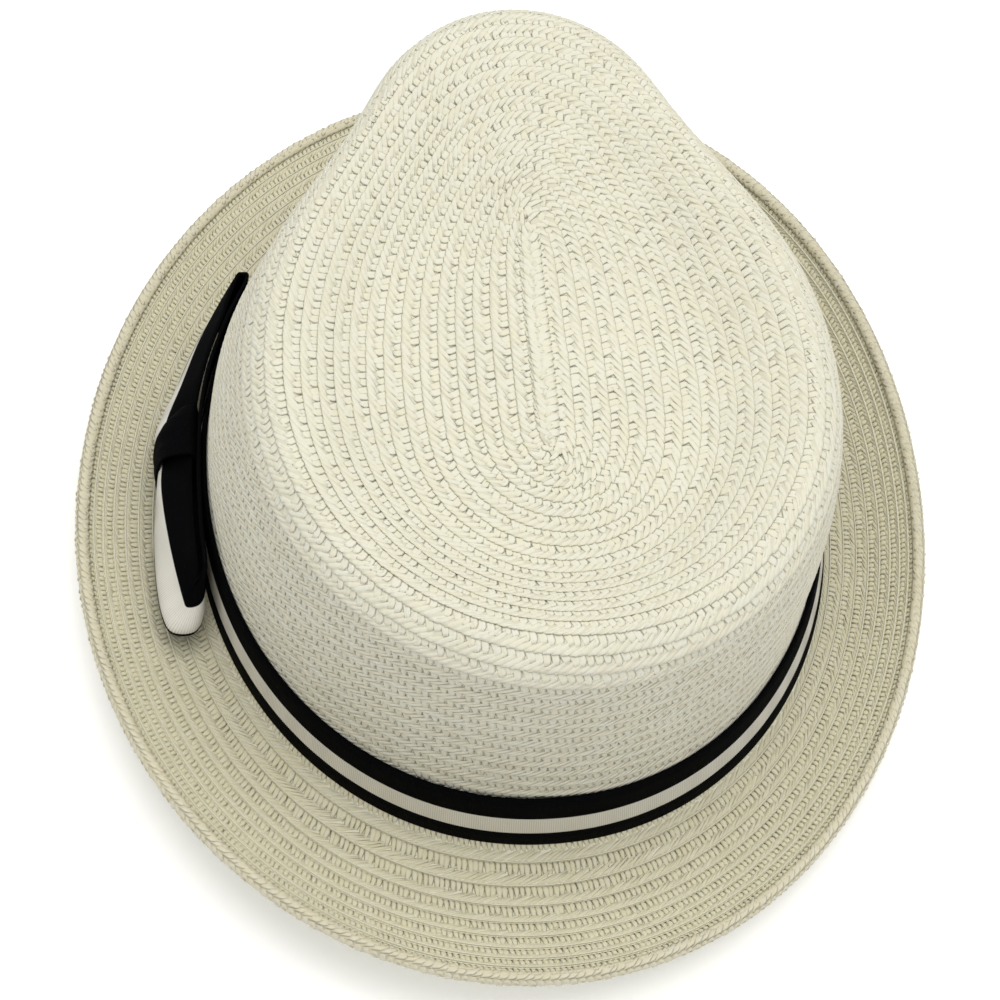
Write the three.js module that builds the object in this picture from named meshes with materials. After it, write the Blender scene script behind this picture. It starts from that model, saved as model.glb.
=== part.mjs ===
// Trilby of sewn straw braid: a dented crown, a turned-up brim, a striped ribbon band and a flat side bow.
// Millimetres, +Z up. The front of the hat faces -Y, the wearer's left side is +X.
import * as THREE from 'three';

// Material thicknesses, and the gap kept between pieces that lie on each other
const STRAW_THICKNESS = 1.8;
const RIBBON_THICKNESS = 1.0;
const SEAT_GAP = 0.3;

// Facets: angles around the hat, and steps around the closed paths of the bow
const STEPS_AROUND = 72;
const LOOP_STEPS = 60;
const KNOT_CORNER_STEPS = 4;

// Crown. Each row is a closed section: half width, reach behind and in front of the crown's middle, how much
// the front narrows and how deep the two front pinches are, then the height at back, sides and front.
// lean moves the section to the wearer's left, and steps is the number of facets up to the next row.
const CROWN_MIDDLE = { x: -2.9, y: -2.5 };
const CROWN_SQUARENESS = 2.06;
const NOSE_POWER = 1.75;
const PINCH_ANGLE = THREE.MathUtils.degToRad(51);
const PINCH_SPREAD = THREE.MathUtils.degToRad(19);
const CROWN_SECTIONS = [
  { name: 'foot', width: 86, back: 101.2, front: 101.2, narrow: 0, pinch: 0,
    zBack: 3.1, zSide: 3.1, zFront: 3.1, lean: 0, steps: 2 },
  { name: 'ribbon top', width: 82.6, back: 99.2, front: 99.2, narrow: 0.02, pinch: 0,
    zBack: 27, zSide: 27, zFront: 28, lean: 1.2, steps: 2 },
  { name: 'middle wall', width: 82, back: 96.8, front: 97.5, narrow: 0.05, pinch: 5.4,
    zBack: 51, zSide: 52, zFront: 58, lean: 0.3, steps: 2 },
  { name: 'upper wall', width: 80, back: 95.2, front: 95.4, narrow: 0.14, pinch: 8.4,
    zBack: 72, zSide: 74, zFront: 85, lean: -0.5, steps: 2 },
  { name: 'shoulder', width: 78, back: 93.8, front: 92.8, narrow: 0.24, pinch: 6.2,
    zBack: 82, zSide: 86, zFront: 99.5, lean: -0.5, steps: 3 },
  { name: 'rim', width: 72, back: 85.4, front: 85, narrow: 0.26, pinch: 3.6,
    zBack: 88.5, zSide: 91.5, zFront: 106, lean: -0.5, steps: 3 },
  { name: 'inner slope', width: 61, back: 76, front: 74, narrow: 0.25, pinch: 1.5,
    zBack: 85, zSide: 88, zFront: 104, lean: -0.5, steps: 2 },
  { name: 'trough', width: 45, back: 63, front: 61, narrow: 0.2, pinch: 0.5,
    zBack: 78.5, zSide: 81, zFront: 98.5, lean: -0.5, steps: 2 },
  { name: 'tip floor', width: 25, back: 47, front: 46, narrow: 0.1, pinch: 0,
    zBack: 78, zSide: 80, zFront: 93, lean: -0.5, steps: 2 },
  { name: 'core', width: 1.6, back: 28, front: 29, narrow: 0, pinch: 0,
    zBack: 81, zSide: 82.5, zFront: 88, lean: -0.5, steps: 0 },
];

// Brim: reach of its edge from the line where it is widest, how high the edge turns up (skew lifts one
// diagonal and lowers the other), and its section from the collar to the rolled lip
const BRIM_HALF_WIDTH = 113.8;
const BRIM_BACK = 137.2;
const BRIM_FRONT = 146.2;
const BRIM_TURN = THREE.MathUtils.degToRad(-4.4);
const EDGE_RISE = { front: 6.5, side: 12.3, back: 19, skew: -4.3 };
const COLLAR_RADIUS = 1.0;
const COLLAR_STEPS = 2;
const FLAT_SHARE = 0.24;
const CURL_POWER = 1.8;
const CURL_STEPS = 5;
const LIP_RADIUS = 1.5;
const LIP_STEPS = 4;

// Band: rows up the ribbon, as the share of the way from the crown's foot to the ribbon top row
const BAND_ROWS = [
  { name: 'lower edge', at: 0, drop: 0.8, flare: 0.4 },
  { name: 'lower stripe', at: 0.34, drop: 0, flare: 0 },
  { name: 'upper stripe', at: 0.66, drop: 0, flare: 0 },
  { name: 'upper edge', at: 0.97, drop: 0, flare: 0 },
];

// Bow: a ribbon folded into two loops, leaning with the wall. Each row is a place along the bow (front is
// negative), with the distance of the inner and the outer layer's upper edge from the plane that touches the
// band at the knot, and how far the lower edges stand apart from the upper ones.
const BOW_HEIGHT = 23;
const BOW_FOOT = 6.5;
const BOW_CENTRE_Y = -11;
const BOW_FOLDS = [
  { name: 'front tip', along: -51, inner: -11.6, outer: -9.6, flare: 2 },
  { name: 'front loop', along: -33, inner: -4.4, outer: 0, flare: 2.5 },
  { name: 'front neck', along: -9.5, inner: 2, outer: 8.6, flare: 0.4 },
  { name: 'knot', along: 0, inner: 2.2, outer: 8.8, flare: 0 },
  { name: 'rear neck', along: 9.5, inner: 2.2, outer: 9.2, flare: 0.4 },
  { name: 'rear loop', along: 26, inner: 2, outer: 9.5, flare: 3.5 },
  { name: 'rear tip', along: 46, inner: 3.2, outer: 7.2, flare: 3.5 },
];

// Knot: the wrap around the middle of the bow
const KNOT_LENGTH = 13.5;
const KNOT_DEPTH = 11.4;
const KNOT_HEIGHT = 27;
const KNOT_FOOT = 4.6;
const KNOT_CORNER = 2.6;

const STRAW = new THREE.MeshStandardMaterial({ color: 0xdcd6c2, roughness: 0.85, metalness: 0 });
const RIBBON = new THREE.MeshStandardMaterial({ color: 0x111214, roughness: 0.8, metalness: 0 });

const TWO_PI = 2 * Math.PI;

// The angle around the hat runs from the front over the wearer's left to the back.
function angles() {
  return Array.from({ length: STEPS_AROUND }, (_, i) => (i / STEPS_AROUND) * TWO_PI);
}

function signedPower(value, power) {
  return Math.sign(value) * Math.abs(value) ** power;
}

// Blend of the values at the front, sides and back for an angle around the hat
function around(angle, front, side, back) {
  const share = Math.cos(angle) ** 2;
  const end = Math.cos(angle) > 0 ? front : back;
  return side + (end - side) * share;
}

function crownPoint(section, angle) {
  const power = 2 / CROWN_SQUARENESS;
  const forward = signedPower(Math.cos(angle), power);
  const sideways = signedPower(Math.sin(angle), power);
  const fromFront = Math.atan2(Math.abs(Math.sin(angle)), Math.cos(angle));
  const narrowing = section.narrow * ((1 + Math.cos(angle)) / 2) ** NOSE_POWER;
  const pinch = section.pinch * Math.exp(-(((fromFront - PINCH_ANGLE) / PINCH_SPREAD) ** 2));
  const reach = forward > 0 ? section.front : section.back;
  const point = new THREE.Vector3(
    section.width * sideways * (1 - narrowing) - pinch * Math.sign(sideways),
    -reach * forward,
    around(angle, section.zFront, section.zSide, section.zBack),
  );
  return point.add(new THREE.Vector3(CROWN_MIDDLE.x + section.lean, CROWN_MIDDLE.y, 0));
}

function crownProfile(angle) {
  const points = CROWN_SECTIONS.map((section) => crownPoint(section, angle));
  return new THREE.CatmullRomCurve3(points, false, 'centripetal');
}

// Point of the brim's edge in plan, with the box around the edge centred on the origin
function brimEdgePoint(angle) {
  const reach = Math.cos(angle) > 0 ? BRIM_FRONT : BRIM_BACK;
  const widestY = (BRIM_FRONT - BRIM_BACK) / 2;
  const point = new THREE.Vector3(BRIM_HALF_WIDTH * Math.sin(angle), widestY - reach * Math.cos(angle), 0);
  return point.applyAxisAngle(new THREE.Vector3(0, 0, 1), BRIM_TURN);
}

// Level direction out of the crown's wall at its foot
function outward(angle) {
  const step = 0.01;
  const ahead = crownPoint(CROWN_SECTIONS[0], angle + step);
  const tangent = ahead.sub(crownPoint(CROWN_SECTIONS[0], angle - step));
  return new THREE.Vector3(tangent.y, -tangent.x, 0).normalize();
}

// Closed mesh from points and triangles, turned so that its faces look outward
function solidGeometry(points, triangles) {
  let volume = 0;
  for (const [a, b, c] of triangles) {
    volume += points[a].dot(new THREE.Vector3().crossVectors(points[b], points[c]));
  }
  const ordered = volume < 0 ? triangles.map(([a, b, c]) => [a, c, b]) : triangles;
  const geometry = new THREE.BufferGeometry().setFromPoints(points);
  geometry.setIndex(ordered.flat());
  geometry.computeVertexNormals();
  return geometry;
}

// Triangles between two rings of points that start at the given indices
function bridge(first, second, count) {
  const triangles = [];
  for (let i = 0; i < count; i += 1) {
    const next = (i + 1) % count;
    triangles.push([first + i, first + next, second + next], [first + i, second + next, second + i]);
  }
  return triangles;
}

// A closed section carried around a closed path
function ringSolid(sections) {
  const count = sections[0].length;
  const triangles = [];
  sections.forEach((_, i) => {
    triangles.push(...bridge(i * count, ((i + 1) % sections.length) * count, count));
  });
  return solidGeometry(sections.flat(), triangles);
}

// Cap over a ring whose points pair up across its long axis
function cap(start, count) {
  const triangles = [];
  for (let i = 0; i < count / 2; i += 1) {
    const left = start + i;
    const right = start + ((count - i) % count);
    const nextRight = start + count - i - 1;
    if (left !== right) triangles.push([left, left + 1, right]);
    if (left + 1 !== nextRight) triangles.push([left + 1, nextRight, right]);
  }
  return triangles;
}

// Rings of points over the crown's outer face, from the foot to the core
function crownRings() {
  const stops = [];
  CROWN_SECTIONS.forEach((section, row) => {
    for (let step = 0; step < section.steps; step += 1) stops.push(row + step / section.steps);
  });
  stops.push(CROWN_SECTIONS.length - 1);
  const profiles = angles().map(crownProfile);
  return stops.map((stop) => profiles.map((curve) => curve.getPoint(stop / (CROWN_SECTIONS.length - 1))));
}

// The same rings moved inward by the thickness of the straw
function insideRings(rings) {
  return rings.map((ring, row) => ring.map((point, i) => {
    const before = ring[(i + ring.length - 1) % ring.length];
    const after = ring[(i + 1) % ring.length];
    const below = rings[Math.max(row - 1, 0)][i];
    const above = rings[Math.min(row + 1, rings.length - 1)][i];
    const normal = after.clone().sub(before).cross(above.clone().sub(below)).normalize();
    const inside = point.clone().addScaledVector(normal, -STRAW_THICKNESS);
    if (row === 0) inside.z = point.z;
    return inside;
  }));
}

function crown() {
  const outer = crownRings();
  const inner = insideRings(outer);
  const rings = [...inner.reverse(), ...outer];
  const count = STEPS_AROUND;
  const triangles = [];
  for (let row = 0; row + 1 < rings.length; row += 1) {
    triangles.push(...bridge(row * count, (row + 1) * count, count));
  }
  triangles.push(...cap(0, count).map(([a, b, c]) => [a, c, b]));
  triangles.push(...cap((rings.length - 1) * count, count));
  return new THREE.Mesh(solidGeometry(rings.flat(), triangles), STRAW);
}

// Section of the brim: distance out from the head line (x) and height (y), collar first
function brimSection(width, rise) {
  const top = [];
  for (let i = 0; i <= COLLAR_STEPS; i += 1) {
    const turn = (i / COLLAR_STEPS) * (Math.PI / 2);
    top.push(new THREE.Vector2(
      COLLAR_RADIUS * (1 - Math.cos(turn)),
      STRAW_THICKNESS + COLLAR_RADIUS * (1 - Math.sin(turn)),
    ));
  }
  for (let i = 0; i <= CURL_STEPS; i += 1) {
    const share = i / CURL_STEPS;
    top.push(new THREE.Vector2(
      width * (FLAT_SHARE + (1 - FLAT_SHARE) * share),
      STRAW_THICKNESS + rise * share ** CURL_POWER,
    ));
  }
  const slope = Math.atan2(rise * CURL_POWER, width * (1 - FLAT_SHARE));
  const under = top.map((point, i) => {
    const before = top[Math.max(i - 1, 0)];
    const after = top[Math.min(i + 1, top.length - 1)];
    const along = after.clone().sub(before).normalize();
    return new THREE.Vector2(point.x + along.y * STRAW_THICKNESS, point.y - along.x * STRAW_THICKNESS);
  });
  for (let i = 0; i <= COLLAR_STEPS; i += 1) {
    const turn = (i / COLLAR_STEPS) * (Math.PI / 2);
    under[i].set(
      COLLAR_RADIUS - (COLLAR_RADIUS + STRAW_THICKNESS) * Math.cos(turn),
      (COLLAR_RADIUS + STRAW_THICKNESS) * (1 - Math.sin(turn)),
    );
  }
  under[COLLAR_STEPS + 1].set(top[COLLAR_STEPS + 1].x, 0);
  const edge = top[top.length - 1];
  const lip = [];
  for (let i = 1; i <= LIP_STEPS; i += 1) {
    const turn = slope + Math.PI / 2 - (i / LIP_STEPS) * Math.PI;
    lip.push(new THREE.Vector2(
      edge.x + LIP_RADIUS * (Math.sin(slope) + Math.cos(turn)),
      edge.y - LIP_RADIUS * (Math.cos(slope) - Math.sin(turn)),
    ));
  }
  return [...top, ...lip, ...under.slice(0, -1).reverse()];
}

function brim() {
  const sections = angles().map((angle) => {
    const foot = crownPoint(CROWN_SECTIONS[0], angle);
    const across = brimEdgePoint(angle).sub(foot).setZ(0);
    const width = across.length();
    across.normalize();
    const level = around(angle, EDGE_RISE.front, EDGE_RISE.side, EDGE_RISE.back);
    const rise = level + EDGE_RISE.skew * Math.sin(2 * angle);
    return brimSection(width, rise).map((point) => (
      new THREE.Vector3(foot.x, foot.y, point.y).addScaledVector(across, point.x)
    ));
  });
  return new THREE.Mesh(ringSolid(sections), STRAW);
}

function band() {
  const rowSpan = 1 / (CROWN_SECTIONS.length - 1);
  const sections = angles().map((angle) => {
    const profile = crownProfile(angle);
    const out = outward(angle);
    const layer = (distance) => BAND_ROWS.map((row) => {
      const point = profile.getPoint(row.at * rowSpan);
      point.z -= row.drop;
      return point.addScaledVector(out, distance + row.flare);
    });
    return [...layer(SEAT_GAP + RIBBON_THICKNESS), ...layer(SEAT_GAP).reverse()];
  });
  return new THREE.Mesh(ringSolid(sections), RIBBON);
}

// Where the band's outer face is furthest out at the bow's side, and how far the wall leans there
function bandSeat() {
  const [foot, top] = CROWN_SECTIONS.slice(0, 2).map((section) => crownPoint(section, Math.PI / 2));
  return {
    x: foot.x + SEAT_GAP + RIBBON_THICKNESS,
    z: foot.z,
    lean: Math.atan2(foot.x - top.x, top.z - foot.z),
  };
}

// Closed path of the folded ribbon, out along the outer layer and back along the inner one
function bowPath() {
  const tips = BOW_FOLDS.length - 1;
  const outer = BOW_FOLDS.map((fold) => new THREE.Vector3(fold.outer, fold.along, fold.flare));
  const inner = BOW_FOLDS.map((fold) => new THREE.Vector3(fold.inner, fold.along, 0)).reverse();
  const roundTip = (fold) => new THREE.Vector3(
    (fold.inner + fold.outer) / 2,
    fold.along + (Math.sign(fold.along) * (fold.outer - fold.inner)) / 2,
    fold.flare / 2,
  );
  const points = [...outer, roundTip(BOW_FOLDS[tips]), ...inner, roundTip(BOW_FOLDS[0])];
  return new THREE.CatmullRomCurve3(points, true, 'centripetal');
}

function bowLoops() {
  const path = bowPath();
  const half = RIBBON_THICKNESS / 2;
  const sections = [];
  for (let i = 0; i < LOOP_STEPS; i += 1) {
    const point = path.getPointAt(i / LOOP_STEPS);
    const tangent = path.getTangentAt(i / LOOP_STEPS).setZ(0).normalize();
    const side = new THREE.Vector3(tangent.y, -tangent.x, 0).multiplyScalar(half);
    const low = new THREE.Vector3(point.x + point.z, point.y, BOW_FOOT);
    const high = new THREE.Vector3(point.x, point.y, BOW_FOOT + BOW_HEIGHT);
    sections.push([
      low.clone().add(side),
      high.clone().add(side),
      high.clone().sub(side),
      low.clone().sub(side),
    ]);
  }
  return new THREE.Mesh(ringSolid(sections), RIBBON);
}

function roundedRectangle(PathType, width, height, radius) {
  const shape = new PathType();
  const x = width / 2 - radius;
  const y = height / 2 - radius;
  shape.absarc(x, y, radius, 0, Math.PI / 2);
  shape.absarc(-x, y, radius, Math.PI / 2, Math.PI);
  shape.absarc(-x, -y, radius, Math.PI, 1.5 * Math.PI);
  shape.absarc(x, -y, radius, 1.5 * Math.PI, TWO_PI);
  return shape;
}

function bowKnot() {
  const shape = roundedRectangle(THREE.Shape, KNOT_DEPTH, KNOT_HEIGHT, KNOT_CORNER);
  const inner = 2 * RIBBON_THICKNESS;
  shape.holes.push(roundedRectangle(
    THREE.Path,
    KNOT_DEPTH - inner,
    KNOT_HEIGHT - inner,
    KNOT_CORNER - RIBBON_THICKNESS,
  ));
  const settings = { depth: KNOT_LENGTH, bevelEnabled: false, curveSegments: KNOT_CORNER_STEPS };
  const mesh = new THREE.Mesh(new THREE.ExtrudeGeometry(shape, settings), RIBBON);
  mesh.rotation.x = Math.PI / 2;
  mesh.position.set(SEAT_GAP + KNOT_DEPTH / 2, KNOT_LENGTH / 2, KNOT_FOOT + KNOT_HEIGHT / 2);
  return mesh;
}

function named(name, mesh) {
  mesh.name = name;
  return mesh;
}

const seat = bandSeat();
const bow = new THREE.Group();
bow.position.set(seat.x + seat.z * Math.tan(seat.lean), BOW_CENTRE_Y, 0);
bow.rotation.y = -seat.lean;
bow.add(named('bow_loops', bowLoops()), named('bow_knot', bowKnot()));

const trilby = new THREE.Group();
trilby.add(named('crown', crown()), named('brim', brim()), named('band', band()), bow);

export default trilby;
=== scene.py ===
import math

import bmesh
import bpy
import numpy as np
from bpy.props import FloatProperty, FloatVectorProperty, IntProperty, PointerProperty
from mathutils import Matrix, Vector
from mathutils.bvhtree import BVHTree


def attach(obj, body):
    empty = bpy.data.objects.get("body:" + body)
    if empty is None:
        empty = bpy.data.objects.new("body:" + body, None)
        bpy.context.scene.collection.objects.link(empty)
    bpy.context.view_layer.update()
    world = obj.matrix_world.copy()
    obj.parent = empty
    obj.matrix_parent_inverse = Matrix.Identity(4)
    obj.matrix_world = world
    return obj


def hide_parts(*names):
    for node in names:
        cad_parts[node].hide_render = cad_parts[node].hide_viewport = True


bl_info = {
    "name": "Straw Braid Trilby",
    "version": (1, 0, 0),
    "blender": (4, 5, 0),
    "location": "View3D > Sidebar > Trilby",
    "description": "Sews the straw braid, ribbon band and bow of a trilby over its solids",
    "category": "Object",
}

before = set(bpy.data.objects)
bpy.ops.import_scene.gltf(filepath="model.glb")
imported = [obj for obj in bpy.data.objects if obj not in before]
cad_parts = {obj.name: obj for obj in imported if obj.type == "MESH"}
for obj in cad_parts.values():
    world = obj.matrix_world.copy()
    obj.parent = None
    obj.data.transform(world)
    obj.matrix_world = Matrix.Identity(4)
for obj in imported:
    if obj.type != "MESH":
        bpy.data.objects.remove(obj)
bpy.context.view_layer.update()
ROOT = "root"

MM = 0.001
TURN = 2 * math.pi
# Points around the hat, levels across a row of braid and samples along one turn of it
ANGLES, LEVELS_PER_ROW, PATH_SAMPLES = 360, 6, 1440
# Height from which points are dropped on the hat
ABOVE_HAT = 200
DOWN = Vector((0, 0, -1))

# The solids' own sizes, in millimetres. The angle around the hat runs from the front over the wearer's left.
CROWN_X, CROWN_Y = -2.9, -2.5
SQUARENESS = 2.06
NOSE_POWER = 1.75
PINCH_ANGLE = math.radians(51)
PINCH_SPREAD = math.radians(19)
CROWN_COLUMNS = ("width", "back", "front", "narrow", "pinch", "z_back", "z_side", "z_front", "lean")
CROWN_SECTIONS = {
    "foot": (86, 101.2, 101.2, 0, 0, 3.1, 3.1, 3.1, 0),
    "ribbon top": (82.6, 99.2, 99.2, 0.02, 0, 27, 27, 28, 1.2),
    "middle wall": (82, 96.8, 97.5, 0.05, 5.4, 51, 52, 58, 0.3),
    "upper wall": (80, 95.2, 95.4, 0.14, 8.4, 72, 74, 85, -0.5),
    "shoulder": (78, 93.8, 92.8, 0.24, 6.2, 82, 86, 99.5, -0.5),
    "rim": (72, 85.4, 85, 0.26, 3.6, 88.5, 91.5, 106, -0.5),
    "inner slope": (61, 76, 74, 0.25, 1.5, 85, 88, 104, -0.5),
    "trough": (45, 63, 61, 0.2, 0.5, 78.5, 81, 98.5, -0.5),
    "tip floor": (25, 47, 46, 0.1, 0, 78, 80, 93, -0.5),
    "core": (1.6, 28, 29, 0, 0, 81, 82.5, 88, -0.5),
}
RIM_STOP = list(CROWN_SECTIONS).index("rim")
CORE_STOP = list(CROWN_SECTIONS).index("core")
BRIM_HALF_WIDTH, BRIM_BACK, BRIM_FRONT = 113.8, 137.2, 146.2
BRIM_TURN = math.radians(-4.4)
RISE_FRONT, RISE_SIDE, RISE_BACK, RISE_SKEW = 6.5, 12.3, 19.0, -4.3
COLLAR_RADIUS = 1.0
FLAT_SHARE = 0.24
CURL_POWER = 1.8
STRAW_THICKNESS = 1.8
SEAT_GAP = 0.3

# The strip that starts the braid at the middle of the tip: its middle, half its length and half its width,
# its section as places across it and heights, and how a strand lies from its side to just past its middle
CORE_X, CORE_Y = CROWN_X - 0.5, CROWN_Y - 0.5
CORE_HALF_LENGTH, CORE_STRIP_HALF, CORE_STATIONS = 28.5, 2.9, 60
CORE_TAPE = ((-1.0, 0.1), (-0.6, 0.45), (0.0, 0.5), (0.6, 0.45), (1.0, 0.1), (1.0, -0.8), (-1.0, -0.8))
CORE_STRAND_FROM, CORE_STRAND_TO, CORE_LEAD = 1.05, -0.1, 3.0
CORE_STRAND_FOOT, CORE_STRIP_TOP = 0.25, 0.6

# Strands: lift over the tape and width against their pitch. The braid of the crown ends above BRAID_FLOOR,
# behind the ribbon, and its tip reaches some rows past the rim.
STRAND_LIFT, STRAND_OVERLAP = 0.12, 1.34
BRAID_FLOOR, TIP_FLOOR, SHOULDER_ROWS = 24.6, 76, 2.0
# A strand's stations: place along it, half its width and its height, as shares; then the tops of its section
LEAF_STATIONS = ((0.0, 0.16, 0.2), (0.3, 0.5, 1.0), (0.72, 0.52, 0.95), (1.0, 0.32, 0.1))
ARM_STATIONS = ((0.0, 0.4, 0.4), (0.35, 0.45, 1.0), (0.75, 0.44, 0.8), (1.0, 0.3, 0.1))
CREASED_SECTION = ((-0.5, 1.0), (0.0, 0.45), (0.5, 1.0))
SMALL_LEAF_STATIONS = ((0.0, 0.16, 0.2), (0.5, 0.54, 1.0), (1.0, 0.32, 0.1))
SMALL_ARM_STATIONS = ((0.0, 0.4, 0.4), (0.5, 0.46, 1.0), (1.0, 0.3, 0.1))
SMALL_SECTION = ((-0.45, 1.0), (0.4, 0.85))
STRAND_FOOT, LEAF_BEND, ARM_BEND = -0.6, -0.2, 0.1
# The braid tape's section: place across the row and height in steps, over the top and back underneath
TAPE_TOP = ((-0.14, -0.55), (0.08, -0.5), (0.42, 0.0), (0.56, 0.18), (0.8, 0.48), (0.98, 0.62), (1.05, 0.3))
TAPE_UNDER = ((1.0, -0.2), (-0.14, -0.9))
TAPE_STATION, FLAT_TAPE = 4.2, 0.6

# Brim: how much closer its outer rows lie, the depth of the braid under it, the depth and clearance of its
# shell, how deep strands sit in what carries them, and the turn of the edge's roll from top to underside
ROW_NARROWING = 0.28
UNDER_DEPTH, SHELL_DEPTH, SHELL_CLEARANCE = 0.64, 0.6, 0.12
BRAID_SEAT, ROLL_SEAT = 0.6, 0.9
ROLL_FROM, ROLL_TO = math.radians(140), math.radians(-120)
ROLL_OUTER, ROLL_INNER = (0.98, 0.42), (0.02, 0.58)

# Ribbon band: its width and lap, its stops up the crown, and how it stands off the straw
BAND_WIDTH, BAND_LAP, BAND_ROWS = 24.2, 8.0, 7
BAND_SHARES = (0.0, 0.97)
BAND_DROP, BAND_FLARE, BAND_LIFT, BAND_BELLY = 0.8, 0.4, 0.4, 0.12
# Share of the width that a ribbon's back reads, above the stripe
PLAIN_BACK = 0.8

# Bow: place along it, the inner layer's distance from the band at its foot and its top, then the outer
# layer's distance at the four levels of the ribbon and how far each level is pushed along the bow
BOW_LEVELS = (0.0, 0.27, 0.585, 1.0)
BOW_FOLDS = (
    {"at": -54, "inner": (-14.2, -14.0), "outer": (-11.0, -10.2, -10.0, -11.4), "push": (-1, -0.5, 0, 1)},
    {"at": -38, "inner": (-7.8, -7.4), "outer": (-1.8, -1.0, -1.8, -6.1), "push": (0, 0, 0, 0)},
    {"at": -22, "inner": (-2.6, -2.0), "outer": (5.0, 6.2, 4.2, -0.8), "push": (0, 0, 0, 0)},
    {"at": -9.5, "inner": (-0.2, 0.4), "outer": (9.6, 11.2, 8.8, 1.7), "push": (0, 0, 0, 0)},
    {"at": 0, "inner": (0.6, 1.2), "outer": (9.0, 10.2, 9.6, 2.6), "push": (0, 0, 0, 0)},
    {"at": 9.5, "inner": (0.6, 1.6), "outer": (10.2, 11.2, 10.6, 3.1), "push": (0, 0, 0, 0)},
    {"at": 26, "inner": (0.0, 1.6), "outer": (11.0, 12.2, 9.0, 3.1), "push": (0, 0, 0, -0.5)},
    {"at": 41, "inner": (0.4, 0.7), "outer": (9.0, 10.6, 5.8, 2.2), "push": (2.5, 4.0, 0.5, -3.5)},
)
# How far the four levels bulge past the last folds, and the shares of that at the blunt rear and the front
BOW_END_BULGE, REAR_REACH, FRONT_REACH = (4.0, 5.0, 3.4, 1.2), 0.9, 0.6
REAR_TURNS, FRONT_TURN = (0.22, 0.75), 0.5
BOW_FOOT, BOW_HEIGHT, BOW_CENTRE_Y, BOW_SEAT = 6.5, 23.0, -11.0, 1.0
BOW_ROWS, BOW_STEPS, STEEPEST_LEVEL = 13, 24, 0.35
# The knot's section: distance from the band and height
KNOT_RING = ((11.6, 4.4), (12.2, 23.0), (9.0, 28.4), (0.0, 29.6), (0.0, 4.4))
KNOT_LENGTH, KNOT_SHIFT, KNOT_POINTS, KNOT_ROWS = 15.5, 2.8, 150, 33
KNOT_CUTS, KNOT_TAPER, TAPER_START, TAPER_POWER = 3, 0.42, 0.05, 1.5
KNOT_WAIST, WAIST_SPREAD = 0.1, 8
PLEAT_DEPTH, PLEATS, PLEAT_SPREAD, KNOT_ROUNDING = 0.1, 3.5, 0.42, 1.2

# Tints of the straw by zone, which paint light and shade: the lit tint on the tip and the brim's row edges,
# painted shade on the wall (darker, greyer) and on the brim and its edge roll (darker, yellower, as in warm
# bounce light);
# and how much lighter the brim's painted shade in the gaps is than the crown's
LIT_STRAW_TINT = (0.92, 0.915, 0.88)
WALL_SHADE_TINT = (0.88, 0.865, 0.83)
BRIM_SHADE_TINT = (0.845, 0.825, 0.72)
EDGE_ROLL_SHADE_TINT = (0.83, 0.8, 0.725)
BRIM_GAP_SHADE_LIFT = 1.18
STRAW_SPECULAR, RIBBON_SPECULAR = 0.14, 0.035

# Stage: half the floor's side in millimetres, then the lamps in metres
FLOOR_HALF = 3000
KEY_PLACE, KEY_COLOUR = (-0.06, -0.02, 1.35), (1.0, 0.975, 0.92)
FILL_PLACE, FILL_COLOUR = (-1.0, 0.35, 0.8), (0.95, 0.97, 1.0)
LAMP_SIZE, LAMP_TARGET = 1.0, (0, 0, 0.05)
SENSOR_WIDTH = 36.0


def number_value(name, description, default, **kind):
    """A number for a group of settings, with its unit or subtype."""
    return FloatProperty(name=name, description=description, default=default, **kind)


def mm_value(name, description, millimetres):
    return number_value(name, description, millimetres * MM, unit="LENGTH")


def share_value(name, description, default):
    return number_value(name, description, default, subtype="FACTOR")


def degree_value(name, description, degrees):
    return number_value(name, description, math.radians(degrees), subtype="ANGLE")


def count_value(name, description, default):
    return IntProperty(name=name, description=description, default=default)


def colour_value(name, description, default):
    return FloatVectorProperty(name=name, description=description, default=default, subtype="COLOR")


def place_value(name, description, default):
    return FloatVectorProperty(
        name=name, description=description, default=default, subtype="TRANSLATION", unit="LENGTH")


class BraidSettings(bpy.types.PropertyGroup):
    """Sizes and colours of the sewn straw braid."""

    tip_rows: count_value("Tip rows", "Rows from the core to the rim of the tip", 15)
    wall_rows: count_value("Wall rows", "Rows from the rim to the head line", 19)
    brim_rows: count_value("Brim rows", "Rows from the head line to the brim's edge", 9)
    pitch: mm_value("Strand pitch", "Distance between strands along a row", 2.1)
    brim_pitch: mm_value("Brim strand pitch", "Distance between strands along a row of the brim", 1.5)
    height: mm_value("Strand height", "How far a strand's ridge stands up", 0.2)
    step: mm_value("Row step", "How far a row's outer edge lies over the next row", 0.6)
    under_step: mm_value("Underside step", "The same step on the brim's underside", 0.3)
    sink: mm_value("Sink", "Depth of the closed straw wall under the strands", 0.6)
    edge: mm_value("Row edge", "Radius of the folded edge along each row", 0.2)
    lip: mm_value("Edge roll", "Radius of the roll along the brim's edge", 1.9)
    slant: degree_value("Slant", "Angle of an outer strand across its row", 57)
    wall_slant: degree_value("Wall slant", "Angle of an outer strand across its row on the wall", 62)
    inner_slant: degree_value("Inner slant", "Angle of an inner strand across its row", 20)
    jitter: share_value("Unevenness", "Random share of a strand's size", 0.15)
    twist: degree_value("Twist", "Random turn of a strand", 8)
    seed: count_value("Seed", "Start of the random numbers", 7)
    # The ridge colour is the straw's own; the edge colour is painted shade on the strands' sides and ends,
    # and the gap colour is painted shade between the strands
    light: colour_value("Straw", "Colour of the strands' ridges", (0.83, 0.815, 0.71))
    painted_shade: colour_value("Straw edge", "Colour of the strands' edges", (0.765, 0.75, 0.635))
    gap: colour_value("Gap", "Colour of the straw between the strands", (0.6, 0.575, 0.46))


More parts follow.
